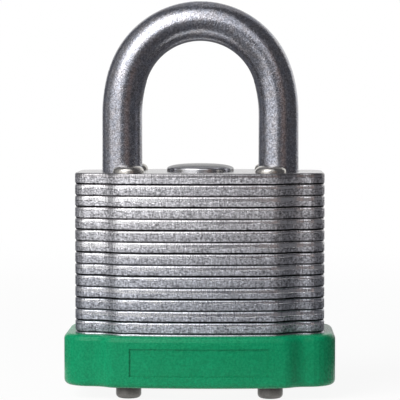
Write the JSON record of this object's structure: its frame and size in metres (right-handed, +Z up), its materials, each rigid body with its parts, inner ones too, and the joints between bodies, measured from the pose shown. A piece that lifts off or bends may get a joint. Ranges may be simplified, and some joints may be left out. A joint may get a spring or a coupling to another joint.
{
  "type": "laminated padlock",
  "caption": "Padlock with a riveted stack of steel plates, a round bow shackle that lifts out, a key cylinder with two sprung bolts, and a plastic bumper round its base.",
  "frame": {"origin": "on the surface the lock stands on, under the middle of the case", "axes": "+X across the width towards the toe leg, -Y out of the front face, +Z up through the shackle"},
  "size_m": [0.0434, 0.0254, 0.0636],
  "materials": {
    "plate_steel": "satin, with fine upright striations",
    "rivet_steel": "satin",
    "bumper_plastic": "matte, fine grain",
    "cap_steel": "satin",
    "shackle_steel": "satin plating with fine mottling",
    "clip_steel": "oiled",
    "spring_steel": "bright wire",
    "shell_brass": "machined",
    "plug_brass": "machined",
    "pin_brass": "machined",
    "pin_steel": "machined",
    "bolt_steel": "hardened, matte"
  },
  "bodies": {
    "case": {"plate_01": "plate_steel", "plate_02": "plate_steel", "plate_03": "plate_steel", "plate_04": "plate_steel", "plate_05": "plate_steel", "plate_06": "plate_steel", "plate_07": "plate_steel", "plate_08": "plate_steel", "plate_09": "plate_steel", "plate_10": "plate_steel", "plate_11": "plate_steel", "plate_12": "plate_steel", "plate_13": "plate_steel", "plate_14": "plate_steel", "plate_15": "plate_steel", "plate_16": "plate_steel", "plate_17": "plate_steel", "plate_18": "plate_steel", "rivets": "rivet_steel", "bumper": "bumper_plastic", "top_cap": "cap_steel", "shackle_spring": "spring_steel", "cylinder_shell": "shell_brass", "chamber_cover": "shell_brass", "driver_pin_1": "pin_steel", "driver_pin_2": "pin_steel", "driver_pin_3": "pin_steel", "driver_pin_4": "pin_steel", "pin_spring_1": "spring_steel", "pin_spring_2": "spring_steel", "pin_spring_3": "spring_steel", "pin_spring_4": "spring_steel", "left_bolt_spring": "spring_steel", "right_bolt_spring": "spring_steel"},
    "shackle": {"shackle": "shackle_steel", "heel_ring": "clip_steel"},
    "plug": {"plug": "plug_brass", "plug_clip": "clip_steel", "cam": "bolt_steel", "key_pin_1": "pin_brass", "key_pin_2": "pin_brass", "key_pin_3": "pin_brass", "key_pin_4": "pin_brass"},
    "left_bolt": {"left_bolt": "bolt_steel"},
    "right_bolt": {"right_bolt": "bolt_steel"}
  },
  "joints": [
    {"name": "shackle_lift", "type": "slide", "parent": "case", "child": "shackle", "axis": [0, 0, 1], "range_m": [0, 0.0121], "deforming": ["shackle_spring"]},
    {"name": "plug_turn", "type": "hinge", "parent": "case", "child": "plug", "pos_m": [0, 0, 0.015], "axis": [0, 0, 1], "range_deg": [0, 90]},
    {"name": "left_bolt_slide", "type": "slide", "parent": "case", "child": "left_bolt", "axis": [-1, 0, 0], "range_m": [0, 0.0022]},
    {"name": "right_bolt_slide", "type": "slide", "parent": "case", "child": "right_bolt", "axis": [1, 0, 0], "range_m": [0, 0.0022]}
  ],
  "couplings": [
    {"joint": "left_bolt_slide", "follows": "plug_turn", "m_per_rad": 0.0014},
    {"joint": "right_bolt_slide", "follows": "plug_turn", "m_per_rad": 0.0014}
  ]
}
